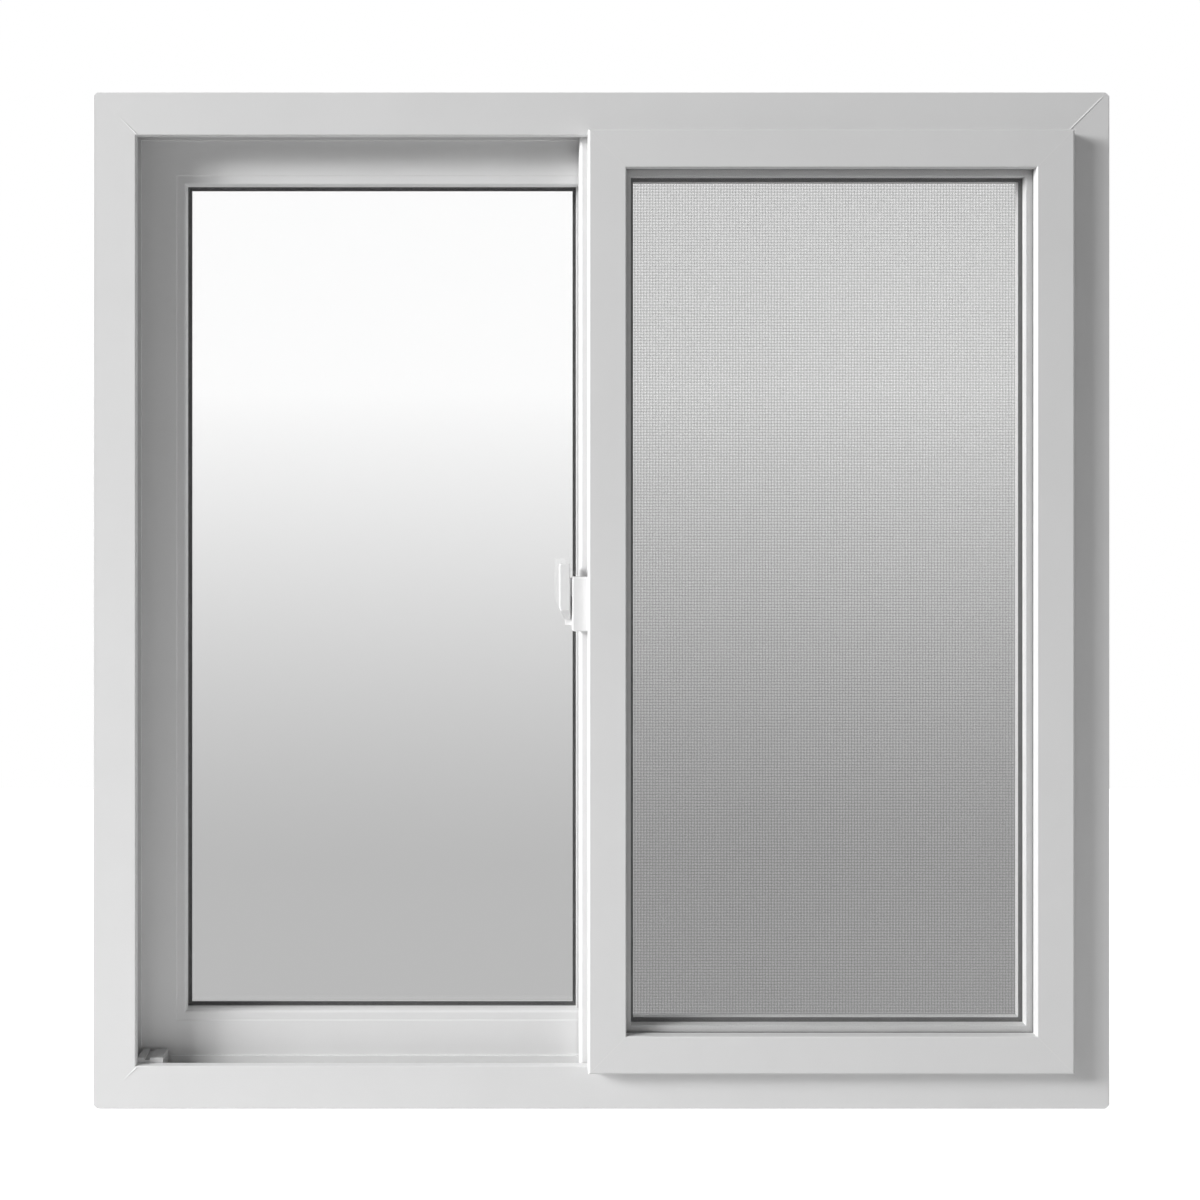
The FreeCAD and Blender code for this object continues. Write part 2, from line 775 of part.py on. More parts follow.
# Rollers in the bottom rail, their wheels on the sill's rail
axle_height = rail_tip + s.wheel_play + s.wheel_radius
wheel_half = s.rail_width / 2 + s.wheel_play + s.wheel_side
housings = []
wheels = []
for word, x in (("left", sash_area[0] + s.roller_inset), ("right", sash_area[1] - s.roller_inset)):
    housing_half = s.slot_width / 2 - s.housing_fit
    housing_top = sash_edge + s.slot_depth - s.housing_fit
    channel = doc.addObject("PartDesign::Body", f"roller_channel_{word}")
    channel_profile = sketch_on(channel, "YZ_Plane", f"roller_channel_{word}_profile")
    plate_inner = housing_half - s.housing_plate
    reach = s.slot_depth - s.housing_fit * 2
    draw_loops(
        channel_profile,
        [
            [
                (-housing_half, zero),
                (-housing_half, -reach),
                (-plate_inner, -reach),
                (-plate_inner, -s.housing_plate),
                (plate_inner, -s.housing_plate),
                (plate_inner, -reach),
                (housing_half, -reach),
                (housing_half, zero),
            ]
        ],
    )
    pad(channel, channel_profile, s.housing_length)
    put(channel, x, rail_middle, housing_top)
    axle = doc.addObject("Part::Cylinder", f"roller_axle_{word}")
    bind(axle, Radius=s.axle_radius, Height=housing_half * 2)
    axle.Placement.Rotation = FreeCAD.Rotation(FreeCAD.Vector(1, 0, 0), -90)
    axle_front = rail_middle - housing_half - s.frame_depth / 2
    for axis, length in (("x", x), ("y", axle_front), ("z", axle_height)):
        axle.setExpression(f"Placement.Base.{axis}", length.text)
    housing = doc.addObject("Part::Fuse", f"roller_housing_{word}")
    housing.Base = channel
    housing.Tool = axle
    housings.append(housing)
    wheel = doc.addObject("PartDesign::Body", f"roller_wheel_{word}")
    wheel_profile = sketch_on(wheel, "XY_Plane", f"roller_wheel_{word}_profile")
    bore = s.axle_radius + s.wheel_play
    rim = s.wheel_radius + s.wheel_flange
    tread_half = wheel_half - s.wheel_side
    draw_loops(
        wheel_profile,
        [
            [
                (bore, -wheel_half),
                (rim, -wheel_half),
                (rim, -tread_half),
                (s.wheel_radius, -tread_half),
                (s.wheel_radius, tread_half),
                (rim, tread_half),
                (rim, wheel_half),
                (bore, wheel_half),
            ]
        ],
    )
    turned = wheel.newObject("PartDesign::Revolution", f"roller_wheel_{word}_turned")
    turned.Profile = wheel_profile
    turned.ReferenceAxis = (wheel_profile, ["V_Axis"])
    put(wheel, x, rail_middle, axle_height)
    wheels.append(wheel)
group("roller_housings", housings)
group("roller_wheels", wheels)

# Pile seals behind the lip on three sides, and one between the two meeting stiles
pile_depth = (s.lip_depth + s.pile_play, run_front)
pile_low = s.back_reach - s.pile_width
left, right, bottom, top = sash_area
seals = [
    box(
        "pile_bottom",
        (left + s.pile_inset, right - s.pile_inset),
        pile_depth,
        (bottom + pile_low, bottom + s.back_reach),
    ),
    box(
        "pile_top",
        (left + s.pile_inset, right - s.pile_inset),
        pile_depth,
        (top - s.back_reach, top - pile_low),
    ),
    box(
        "pile_right",
        (right - s.back_reach, right - pile_low),
        pile_depth,
        (bottom + s.pile_inset, top - s.pile_inset),
    ),
]
group("sash_pile_seals", seals)
meeting_pile = box(
    "meeting_pile_seal",
    (zero, s.pile_width),
    (sash_back, rib_back - s.pile_play),
    (bottom + s.pile_inset, top - s.pile_inset),
)
keep("meeting_pile_seal", meeting_pile)

# Latch: base on the running part of the meeting stile, lever beside it
latch = doc.addObject("PartDesign::Body", "latch_base")
latch_outline = sketch_on(latch, "XZ_Plane", "latch_base_outline")
draw_loops(
    latch_outline,
    [
        [
            (-s.latch_width, zero),
            (zero, zero),
            (zero, s.latch_height),
            (-s.latch_width, s.latch_height),
        ]
    ],
)
latch_pad = pad(latch, latch_outline, s.latch_depth, middle=False)
doc.recompute()
latch_corners = [(-s.latch_width, zero), (-s.latch_width, s.latch_height)]
latch_body = round_edges(latch, latch_pad, edges_along(latch_pad.Shape, "y", latch_corners), s.latch_round)
round_edges(latch, latch_body, front_edges(latch_body.Shape, s.latch_depth, [zero]), s.latch_soft)
plate = sketch_on(latch, "XZ_Plane", "latch_plate_outline")
plate_left = -(s.latch_width + s.plate_reach)
plate_top = s.latch_height - s.plate_inset
draw_loops(
    plate,
    [
        [
            (plate_left, s.plate_inset),
            (-s.latch_width / 2, s.plate_inset),
            (-s.latch_width / 2, plate_top),
            (plate_left, plate_top),
        ]
    ],
)
pad(latch, plate, s.plate_depth, middle=False)
latch_low = s.frame_height / 2 - s.latch_drop - s.latch_height / 2
put(latch, -s.sash_reach, run_front, latch_low)
keep("latch_base", latch)

lever = doc.addObject("PartDesign::Body", "latch_lever")
lever_outline = sketch_on(lever, "XZ_Plane", "latch_lever_outline")
draw_loops(
    lever_outline,
    [
        [
            (-s.lever_tip, zero),
            (zero, zero),
            (zero, s.lever_height),
            (-s.lever_width, s.lever_height),
            (-s.lever_width, s.lever_rise),
        ]
    ],
)
lever_pad = pad(lever, lever_outline, s.lever_depth, middle=False)
doc.recompute()
lever_corners = [(zero, s.lever_height), (-s.lever_width, s.lever_height)]
lever_body = round_edges(lever, lever_pad, edges_along(lever_pad.Shape, "y", lever_corners), s.latch_round)
round_edges(lever, lever_body, front_edges(lever_body.Shape, s.lever_depth, []), s.latch_soft)
neck = sketch_on(lever, "XZ_Plane", "latch_lever_neck")
neck_top = s.neck_rise + s.lever_neck
neck_left = -s.lever_width / 2
draw_loops(
    neck,
    [
        [
            (neck_left, s.neck_rise),
            (s.lever_gap, s.neck_rise),
            (s.lever_gap, neck_top),
            (neck_left, neck_top),
        ]
    ],
)
pad(lever, neck, s.neck_depth, middle=False)
underside = sketch_on(lever, "YZ_Plane", "latch_lever_underside")
draw_loops(
    underside,
    [
        [
            (-s.lever_depth, s.lever_bevel),
            (-s.lever_nose, zero),
            (-s.lever_nose, -over),
            (-(s.lever_depth + over), -over),
            (-(s.lever_depth + over), s.lever_bevel),
        ]
    ],
)
cut_through(lever, underside)
lever_x = -(s.sash_reach + s.latch_width + s.lever_gap)
put(lever, lever_x, run_front - s.latch_depth + s.lever_depth, latch_low + s.lever_rise)
keep("latch_lever", lever)

# Insect screen in the outer track: hollow bars, mesh held by a spline, two pull tabs
screen_area = (
    s.screen_reach,
    half_width - s.channel_floor - s.screen_side,
    s.channel_floor,
    s.frame_height - s.channel_floor - s.screen_lift,
)
screen_front = screen_rib_back + s.screen_inset
screen_back = screen_front + s.screen_depth
spline_floor = screen_back - s.spline_depth
spline_far = s.spline_place + s.spline_width
mesh_seat = screen_back - s.mesh_inset
screen_profile = [
    [
        (screen_front, zero),
        (screen_back, zero),
        (screen_back, s.spline_place),
        (spline_floor, s.spline_place),
        (spline_floor, spline_far),
        (mesh_seat, spline_far),
        (mesh_seat, s.screen_bar),
        (screen_front, s.screen_bar),
    ],
    [
        (screen_front + s.screen_wall, s.screen_wall),
        (screen_back - s.screen_wall, s.screen_wall),
        (screen_back - s.screen_wall, s.spline_place - s.screen_wall),
        (screen_front + s.screen_wall, s.spline_place - s.screen_wall),
    ],
]
for side, (x, z, turn, length) in sides(screen_area).items():
    name = f"screen_bar_{side}"
    bar = mitred_bar(name, screen_profile, length, s.screen_bar)
    put(bar, x, zero, z, turn)
    keep(name, bar)
mesh_area = inset(screen_area, spline_far)
keep("screen_mesh", box("screen_mesh", mesh_area[:2], (mesh_seat, mesh_seat + s.mesh_depth), mesh_area[2:]))
keep(
    "screen_spline",
    ring("screen_spline", screen_area, s.spline_place, spline_far, (spline_floor, screen_back)),
)
tabs = []
tab_places = (("left", screen_area[0] + s.tab_inset), ("right", screen_area[1] - s.tab_inset))
for word, middle in tab_places:
    tab = doc.addObject("PartDesign::Body", f"screen_tab_{word}")
    tab_outline = sketch_on(tab, "XZ_Plane", f"screen_tab_{word}_outline")
    half = s.tab_length / 2
    draw_loops(tab_outline, [[(-half, zero), (half, zero), (half, s.tab_height), (-half, s.tab_height)]])
    tab_pad = pad(tab, tab_outline, s.tab_depth, middle=False)
    doc.recompute()
    tab_corners = [(-half, s.tab_height), (half, s.tab_height)]
    round_edges(tab, tab_pad, edges_along(tab_pad.Shape, "y", tab_corners), s.tab_round)
    put(tab, middle, screen_back + s.tab_depth, screen_area[2] + s.spline_place + s.spline_width / 4)
    tabs.append(tab)
group("screen_pull_tabs", tabs)

doc.recompute()
for item in doc.Objects:
    if "Invalid" in item.State or "Error" in item.State:
        raise RuntimeError(f"{item.Name} didn't rebuild: {item.State}")
os.makedirs("parts", exist_ok=True)
for name, item in nodes.items():
    shape = item.Shape
    if shape.isNull() or not shape.isValid() or not shape.Solids:
        raise RuntimeError(f"{name} has no sound solid")
    shape.exportStep(f"parts/{name}.step")
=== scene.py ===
"""Looks of a horizontal sliding window: white vinyl, double glazing, latch and insect screen."""

import json
import math

import bpy
import bmesh
from mathutils import Matrix, Vector


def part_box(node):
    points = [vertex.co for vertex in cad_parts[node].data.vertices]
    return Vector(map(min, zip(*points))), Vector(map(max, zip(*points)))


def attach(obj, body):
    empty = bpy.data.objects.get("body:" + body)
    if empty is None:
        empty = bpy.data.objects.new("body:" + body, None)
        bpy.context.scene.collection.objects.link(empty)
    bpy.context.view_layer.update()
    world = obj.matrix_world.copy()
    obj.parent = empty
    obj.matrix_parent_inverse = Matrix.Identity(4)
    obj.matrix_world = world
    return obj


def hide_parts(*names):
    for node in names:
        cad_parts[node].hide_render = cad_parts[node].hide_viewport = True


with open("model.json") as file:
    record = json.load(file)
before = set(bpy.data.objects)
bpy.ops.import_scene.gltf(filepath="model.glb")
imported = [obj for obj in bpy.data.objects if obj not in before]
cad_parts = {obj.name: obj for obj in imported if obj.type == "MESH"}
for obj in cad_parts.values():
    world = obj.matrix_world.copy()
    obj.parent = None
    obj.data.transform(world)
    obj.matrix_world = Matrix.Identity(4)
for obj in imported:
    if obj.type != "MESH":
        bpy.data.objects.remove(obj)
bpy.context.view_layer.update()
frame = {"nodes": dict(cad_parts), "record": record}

MM = 0.001
TO_ROOM = Vector((0, -1, 0))


def corners(node):
    """The low and the high corner of a CAD piece's box."""
    return [Vector(corner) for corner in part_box(node)]


# Node trees
class Value:
    """A node's output; arithmetic on it adds Math nodes to the same tree."""

    def __init__(self, tree, socket):
        self.tree = tree
        self.socket = socket

    def math(self, operation, first, second=0.0, clamp=False):
        """The result of a Math node on numbers or values."""
        settings = {"operation": operation, "use_clamp": clamp}
        return self.tree.add("ShaderNodeMath", settings, {0: first, 1: second})

    def __add__(self, other):
        return self.math("ADD", self, other)

    def __radd__(self, other):
        return self.math("ADD", other, self)

    def __sub__(self, other):
        return self.math("SUBTRACT", self, other)

    def __rsub__(self, other):
        return self.math("SUBTRACT", other, self)

    def __mul__(self, other):
        return self.math("MULTIPLY", self, other)

    def __rmul__(self, other):
        return self.math("MULTIPLY", other, self)

    def __truediv__(self, other):
        return self.math("DIVIDE", self, other)

    def __rtruediv__(self, other):
        return self.math("DIVIDE", other, self)

    def __pow__(self, other):
        return self.math("POWER", self, other)

    def __rpow__(self, other):
        return self.math("POWER", other, self)

    def __abs__(self):
        return self.math("ABSOLUTE", self)

    def at_least(self, other):
        """The larger of two values."""
        return self.math("MAXIMUM", self, other)

    def floor(self):
        """The whole number below."""
        return self.math("FLOOR", self)

    def clamped(self):
        """The value kept between 0 and 1."""
        return self.math("ADD", self, 0.0, clamp=True)


class Tree:
    """A node tree under construction, emptied first."""

    def __init__(self, node_tree):
        self.node_tree = node_tree
        node_tree.nodes.clear()

    def add(self, kind, settings=None, sockets=None, output=0):
        """Add a node: its settings first, then the values or links of its sockets."""
        node = self.node_tree.nodes.new(kind)
        for name, setting in (settings or {}).items():
            setattr(node, name, setting)
        for name, given in (sockets or {}).items():
            if isinstance(given, Value):
                self.node_tree.links.new(given.socket, node.inputs[name])
            else:
                node.inputs[name].default_value = given
        return Value(self, node.outputs[output]) if node.outputs else node

    def other(self, given, output):
        """Another output of the node that gave a value."""
        return Value(self, given.socket.node.outputs[output])

    def vector(self, x, y, z):
        """A vector from three numbers or values."""
        return self.add("ShaderNodeCombineXYZ", None, {0: x, 1: y, 2: z})

    def split(self, vector):
        """The three values of a vector."""
        x = self.add("ShaderNodeSeparateXYZ", None, {0: vector})
        return x, self.other(x, 1), self.other(x, 2)

    def blend(self, share, first, second):
        """A colour between two colours."""
        settings = {"data_type": "RGBA", "clamp_factor": True}
        return self.add("ShaderNodeMix", settings, {0: share, 6: first, 7: second}, output=2)

    def place(self):
        """The piece's own coordinates, in metres."""
        return self.add("ShaderNodeTexCoord", output="Object")

    def noise(self, place, scale, detail):
        """Soft noise from 0 to 1, with scale in features per metre."""
        return self.add("ShaderNodeTexNoise", None, {"Vector": place, "Scale": scale, "Detail": detail})

    def stretched(self, place, scale):
        """Coordinates scaled by axis."""
        return self.add("ShaderNodeMapping", None, {"Vector": place, "Scale": scale})

    def bump(self, height, distance, strength):
        """A normal from a height given as a share of a distance in metres."""
        sockets = {"Height": height, "Distance": distance, "Strength": strength}
        return self.add("ShaderNodeBump", None, sockets)

    def principled(self, sockets):
        """The surface of a finish."""
        return self.add("ShaderNodeBsdfPrincipled", None, sockets)


# Finishes: each function makes the surface of one material in its tree
ALONG_X = (0.004, 1.0, 1.0)
ALONG_Z = (1.0, 1.0, 0.004)
DIE_LINE_SHARE = 0.012
GRAIN_SHARE = 0.008
WELD_WIDTH = 0.7 * MM
WELD_RISE = 0.15 * MM
# How much paler the sash's weld lines are painted: a painted highlight, not the vinyl's own colour
WELD_PAINTED_HIGHLIGHT = 0.6
SASH_FACE = 39.9 * MM
SASH_INSET = Vector((SASH_FACE, 0.0, SASH_FACE))
SASH_OPENING = (
    corners("sash_bottom_rail")[0] + SASH_INSET,
    corners("sash_top_rail")[1] - SASH_INSET,
)
GASKET_TONES = (0.060, 0.105)
SASH_SEAL_TONES = (0.15, 0.22)


def grey(level):
    """A neutral colour."""
    return (level, level, level, 1.0)


def finish(name, make):
    """A material whose surface is made by a function of its tree."""
    material = bpy.data.materials.new(name)
    material.use_nodes = True
    tree = Tree(material.node_tree)
    surface = make(tree)
    tree.add("ShaderNodeOutputMaterial", None, {"Surface": surface})
    return material


def weld_line(tree, place, low, high):
    """1 along the mitres that run out from the corners of an opening, 0 elsewhere."""
    x, _, z = tree.split(place)
    middle = (low + high) / 2
    half = (high - low) / 2
    beside = abs(x - middle.x) - half.x
    above = abs(z - middle.z) - half.z
    return (1.0 - abs(beside - above) / WELD_WIDTH).clamped()


def vinyl_surface(stretch, opening=None):
    """Satin white vinyl: faint clouding, fine lines of the die along the bar, and weld lines on the
    mitres at the corners of an opening where one is given, raised by bump and painted paler as a
    painted highlight."""

    def make(tree):
        place = tree.place()
        cloud = tree.noise(place, scale=14.0, detail=4.0)
        lines = tree.noise(tree.stretched(place, stretch), scale=700.0, detail=2.0)
        grain = tree.noise(place, scale=1100.0, detail=2.0)
        colour = tree.blend(cloud, grey(0.79), grey(0.83))
        height = lines * DIE_LINE_SHARE + grain * GRAIN_SHARE
        if opening:
            weld = weld_line(tree, place, *opening)
            # Painted highlight: the weld line's colour is blended paler in place of the light its ridge
            # catches; the bump below is the ridge itself
            colour = tree.blend(weld * WELD_PAINTED_HIGHLIGHT, colour, grey(0.88))
            height = height + weld
        return tree.principled(
            {
                "Base Color": colour,
                "Roughness": 0.32 + cloud * 0.08 + lines * 0.06,
                "Specular IOR Level": 0.45,
                "Normal": tree.bump(height, distance=WELD_RISE, strength=0.5),
            }
        )

    return make


def latch_surface(tree):
    """Moulded white plastic of the latch and the pull tabs, smoother than the bars."""
    place = tree.place()
    grain = tree.noise(place, scale=1500.0, detail=2.0)
    cloud = tree.noise(place, scale=60.0, detail=2.0)
    return tree.principled(
        {
            "Base Color": tree.blend(cloud, grey(0.86), grey(0.90)),
            "Roughness": 0.26 + grain * 0.08,
            "Normal": tree.bump(grain, distance=0.04 * MM, strength=0.3),
        }
    )


def stop_painted_shade_surface(tree):
    """Moulded plastic of the stop block, its colour darkened to a grey as painted shade for the
    shadowed corner it sits in.
    """
    place = tree.place()
    grain = tree.noise(place, scale=900.0, detail=2.0)
    cloud = tree.noise(place, scale=120.0, detail=3.0)
    return tree.principled(
        {
            # Painted shade: a darker grey than the block's own near-white, in place of the shadow of
            # the corner
            "Base Color": tree.blend(cloud, grey(0.54), grey(0.62)),
            "Roughness": 0.5 + grain * 0.12,
            "Normal": tree.bump(grain, distance=0.08 * MM, strength=0.4),
        }
    )


def enamel_surface(tree):
    """White enamel on the screen's aluminium bars, with a slight orange peel."""
    place = tree.place()
    peel = tree.noise(place, scale=420.0, detail=2.0)
    cloud = tree.noise(place, scale=25.0, detail=3.0)
    return tree.principled(
        {
            "Base Color": tree.blend(cloud, grey(0.77), grey(0.82)),
            "Roughness": 0.30 + cloud * 0.10,
            "Normal": tree.bump(peel, distance=0.05 * MM, strength=0.4),
        }
    )


def rubber_surface(dark, pale):
    """Matt rubber with a dusty bloom, between two grey levels."""

    def make(tree):
        place = tree.place()
        bloom = tree.noise(place, scale=45.0, detail=4.0)
        grain = tree.noise(place, scale=1800.0, detail=2.0)
        return tree.principled(
            {
                "Base Color": tree.blend(bloom, grey(dark), grey(pale)),
                "Roughness": 0.62 + bloom * 0.2,
                "Normal": tree.bump(grain, distance=0.05 * MM, strength=0.5),
            }
        )

    return make


def pile_surface(tree):
    """Grey brush fibres, mottled from dark to pale."""
    fibres = tree.noise(tree.place(), scale=2600.0, detail=2.0)
    return tree.principled(
        {
            "Base Color": tree.blend(fibres, grey(0.22), grey(0.50)),
            "Roughness": 0.9,
            "Sheen Weight": 0.4,
            "Normal": tree.bump(fibres, distance=0.3 * MM, strength=0.8),
        }
    )


def spacer_surface(tree):
    """Light grey foam with fine closed pores."""
    place = tree.place()
    cloud = tree.noise(place, scale=40.0, detail=3.0)
    pores = tree.noise(place, scale=1600.0, detail=2.0)
    return tree.principled(
        {
            "Base Color": tree.blend(cloud * 0.6 + pores * 0.4, grey(0.76), grey(0.84)),
            "Roughness": 0.62 + pores * 0.15,
            "Normal": tree.bump(pores, distance=0.1 * MM, strength=0.5),
        }
    )


def zinc_surface(tree):
    """Zinc plate with a fine crystal cloud."""
    cloud = tree.noise(tree.place(), scale=260.0, detail=4.0)
    return tree.principled(
        {
            "Base Color": tree.blend(cloud, grey(0.46), grey(0.62)),
            "Metallic": 1.0,
            "Roughness": 0.28 + cloud * 0.18,
        }
    )


def nylon_surface(tree):
    """Natural nylon of the wheels."""
    cloud = tree.noise(tree.place(), scale=180.0, detail=3.0)
    return tree.principled(
        {
            "Base Color": tree.blend(cloud, (0.70, 0.69, 0.65, 1.0), (0.78, 0.77, 0.73, 1.0)),
            "Roughness": 0.42 + cloud * 0.12,
        }
    )


def block_surface(tree):
    """Black plastic of the setting blocks."""
    cloud = tree.noise(tree.place(), scale=180.0, detail=3.0)
    return tree.principled(
        {
            "Base Color": tree.blend(cloud, grey(0.02), grey(0.045)),
            "Roughness": 0.5 + cloud * 0.15,
        }
    )


def thread_surface(tree):
    """Charcoal vinyl-coated fibreglass thread."""
    cloud = tree.noise(tree.place(), scale=300.0, detail=2.0)
    return tree.principled(
        {
            "Base Color": tree.blend(cloud, grey(0.045), grey(0.085)),
            "Roughness": 0.55 + cloud * 0.15,
        }
    )


def glass_surface(tree):
    """Clear float glass; shadow rays and diffuse rays pass straight through it."""
    clear = tree.principled(
        {
            "Base Color": grey(0.99),
            "Roughness": 0.0,
            "IOR": 1.5,
            "Transmission Weight": 1.0,
        }
    )
    shadow = tree.add("ShaderNodeLightPath", output="Is Shadow Ray")
    diffuse = tree.other(shadow, "Is Diffuse Ray")
    straight = tree.add("ShaderNodeBsdfTransparent", None, {"Color": grey(0.96)})
    passing = shadow.at_least(diffuse)
    return tree.add("ShaderNodeMixShader", None, {0: passing, 1: clear, 2: straight})


FINISHES = {
    "vinyl": finish("white_vinyl_across", vinyl_surface(ALONG_X)),
    "vinyl_upright": finish("white_vinyl_upright", vinyl_surface(ALONG_Z)),
    "sash_vinyl": finish("sash_vinyl_across", vinyl_surface(ALONG_X, SASH_OPENING)),
    "sash_vinyl_upright": finish("sash_vinyl_upright", vinyl_surface(ALONG_Z, SASH_OPENING)),
    "latch": finish("white_hardware", latch_surface),
    "stop": finish("stop_painted_shade", stop_painted_shade_surface),
    "screen_bar": finish("white_enamel", enamel_surface),
    "gasket": finish("charcoal_gasket", rubber_surface(*GASKET_TONES)),
    "sash_seal": finish("grey_seal", rubber_surface(*SASH_SEAL_TONES)),
    "spline": finish("spline_cord", rubber_surface(*GASKET_TONES)),
    "pile": finish("grey_pile", pile_surface),
    "spacer": finish("grey_foam", spacer_surface),
    "roller": finish("zinc_plate", zinc_surface),
    "wheel": finish("natural_nylon", nylon_surface),
    "block": finish("black_block", block_surface),
    "mesh": finish("fibreglass_thread", thread_surface),
    "glass": finish("clear_glass", glass_surface),
}
OWN_FINISHES = {"sash_stop": "stop", "sash_bead_seal": "sash_seal"}


def finish_for(name, slot):
    """A CAD piece's finish: its own or its slot's, with die lines and welds that suit a vinyl bar."""
    kind = OWN_FINISHES.get(name, slot)
    if kind == "vinyl" and name.startswith("sash") and "bead" not in name:
        kind = "sash_vinyl"
    if kind.endswith("vinyl") and ("stile" in name or "jamb" in name):
        kind += "_upright"
    return FINISHES[kind]


for part in frame["record"]["subparts"]:
    for slot in frame["nodes"][part["node"]].material_slots:
        slot.material = finish_for(part["node"], part["material_slot"])


# Objects
def add_object(name, data):
    """A new object in the scene."""
    thing = bpy.data.objects.new(name, data)
    bpy.context.scene.collection.objects.link(thing)
    return thing


def add_mesh(name, shape, material):
    """A new object in the scene from a bmesh, which is freed, with one material."""
    mesh = bpy.data.meshes.new(name)
    shape.to_mesh(mesh)
    shape.free()
    mesh.materials.append(material)
    return add_object(name, mesh)


def add_vinyl(name, shape):
    """A closed vinyl piece from a bmesh, that rides the frame."""
    bmesh.ops.recalc_face_normals(shape, faces=shape.faces)
    piece = add_mesh(name, shape, FINISHES["vinyl"])
    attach(piece, "root")


# Grown pieces: what repeats is laid out by Geometry Nodes and turned into a plain mesh
NUMBER = "NodeSocketFloat"
COUNT = "NodeSocketInt"
MATERIAL = "NodeSocketMaterial"


def growth(name, inputs):
    """An empty Geometry Nodes tree, and its named inputs as values."""
    group = bpy.data.node_groups.new(name, "GeometryNodeTree")
    for label, kind in inputs.items():
        group.interface.new_socket(label, in_out="INPUT", socket_type=kind)
    group.interface.new_socket("Geometry", in_out="OUTPUT", socket_type="NodeSocketGeometry")
    tree = Tree(group)
    first = tree.add("NodeGroupInput")
    return tree, {label: tree.other(first, label) for label in inputs}


def dress(tree, shapes, material):
    """Close a tree: join its shapes, make their copies real and give them a material."""
    joined = tree.add("GeometryNodeJoinGeometry")
    for shape in shapes:
        tree.node_tree.links.new(shape.socket, joined.socket.node.inputs[0])
    real = tree.add("GeometryNodeRealizeInstances", None, {0: joined})
    dressed = tree.add("GeometryNodeSetMaterial", None, {"Geometry": real, "Material": material})
    tree.add("NodeGroupOutput", None, {0: dressed})
    return tree.node_tree


def grown(name, group, settings, place):
    """A piece made by a Geometry Nodes tree, moved to its place by a matrix, that rides the frame."""
    seed = add_object(f"{name}_seed", bpy.data.meshes.new(f"{name}_seed"))
    modifier = seed.modifiers.new("nodes", "NODES")
    modifier.node_group = group
    for item in group.interface.items_tree:
        if item.in_out == "INPUT":
            modifier[item.identifier] = settings[item.name]
    bpy.context.view_layer.update()
    evaluated = seed.evaluated_get(bpy.context.evaluated_depsgraph_get())
    mesh = bpy.data.meshes.new_from_object(evaluated)
    mesh.name = name
    mesh.transform(place)
    bpy.data.objects.remove(seed)
    piece = add_object(name, mesh)
    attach(piece, "root")
    return piece


# Insect screen
THREAD = 0.335 * MM
THREAD_SIDES = 8
PITCH = 1.41 * MM


def threads(tree, given, run, spread, lift, along_x):
    """Parallel threads: a round rod as long as the run, repeated over the spread."""
    pitch = given["Pitch"]
    count = (spread / pitch).floor()
    first = (count - 1.0) * pitch * -0.5
    start = tree.vector(0.0, lift, first) if along_x else tree.vector(first, lift, 0.0)
    step = tree.vector(0.0, 0.0, pitch) if along_x else tree.vector(pitch, 0.0, 0.0)
    line = tree.add(
        "GeometryNodeMeshLine",
        {"mode": "OFFSET"},
        {"Count": count, "Start Location": start, "Offset": step},
    )
    rod = tree.add(
        "GeometryNodeMeshCylinder",
        None,
        {"Vertices": THREAD_SIDES, "Radius": given["Thread"] * 0.5, "Depth": run},
    )
    turn = (0.0, math.pi / 2, 0.0) if along_x else (0.0, 0.0, 0.0)
    sockets = {"Points": line, "Instance": rod, "Rotation": turn}
    return tree.add("GeometryNodeInstanceOnPoints", None, sockets)


def screen_tree():
    """Two families of straight threads, sunk into each other where they cross."""
    inputs = {
        "Width": NUMBER,
        "Height": NUMBER,
        "Depth": NUMBER,
        "Thread": NUMBER,
        "Pitch": NUMBER,
        "Material": MATERIAL,
    }
    tree, given = growth("woven_screen", inputs)
    lift = (given["Depth"] - given["Thread"]) * 0.5
    across = threads(tree, given, given["Width"], given["Height"], lift * -1.0, True)
    upright = threads(tree, given, given["Height"], given["Width"], lift, False)
    return dress(tree, [across, upright], given["Material"])


def hang_screen():
    """The screen's threads, stretched flat in the place of the CAD mesh."""
    low, high = corners("screen_mesh")
    size = high - low
    settings = {
        "Width": size.x,
        "Height": size.z,
        "Depth": size.y,
        "Thread": THREAD,
        "Pitch": PITCH,
        "Material": FINISHES["mesh"],
    }
    weave = grown("screen_weave", screen_tree(), settings, Matrix.Translation((low + high) / 2))
    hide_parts("screen_mesh")


hang_screen()


# Pile seals: a woven backing with a brush of fibres that lean a little every way
PILE_WIDTH = 4.5 * MM
PILE_SHORTENING = 22.0 * MM
BACKING_SHARE = 0.25
FIBRE = 0.09 * MM
FIBRE_SIDES = 3
FIBRE_GAP = 0.42 * MM
FIBRE_STRAY = 0.4
FIBRE_ROOT = 0.9
FIBRE_LEAN = 0.28
PILE_SEED = 7


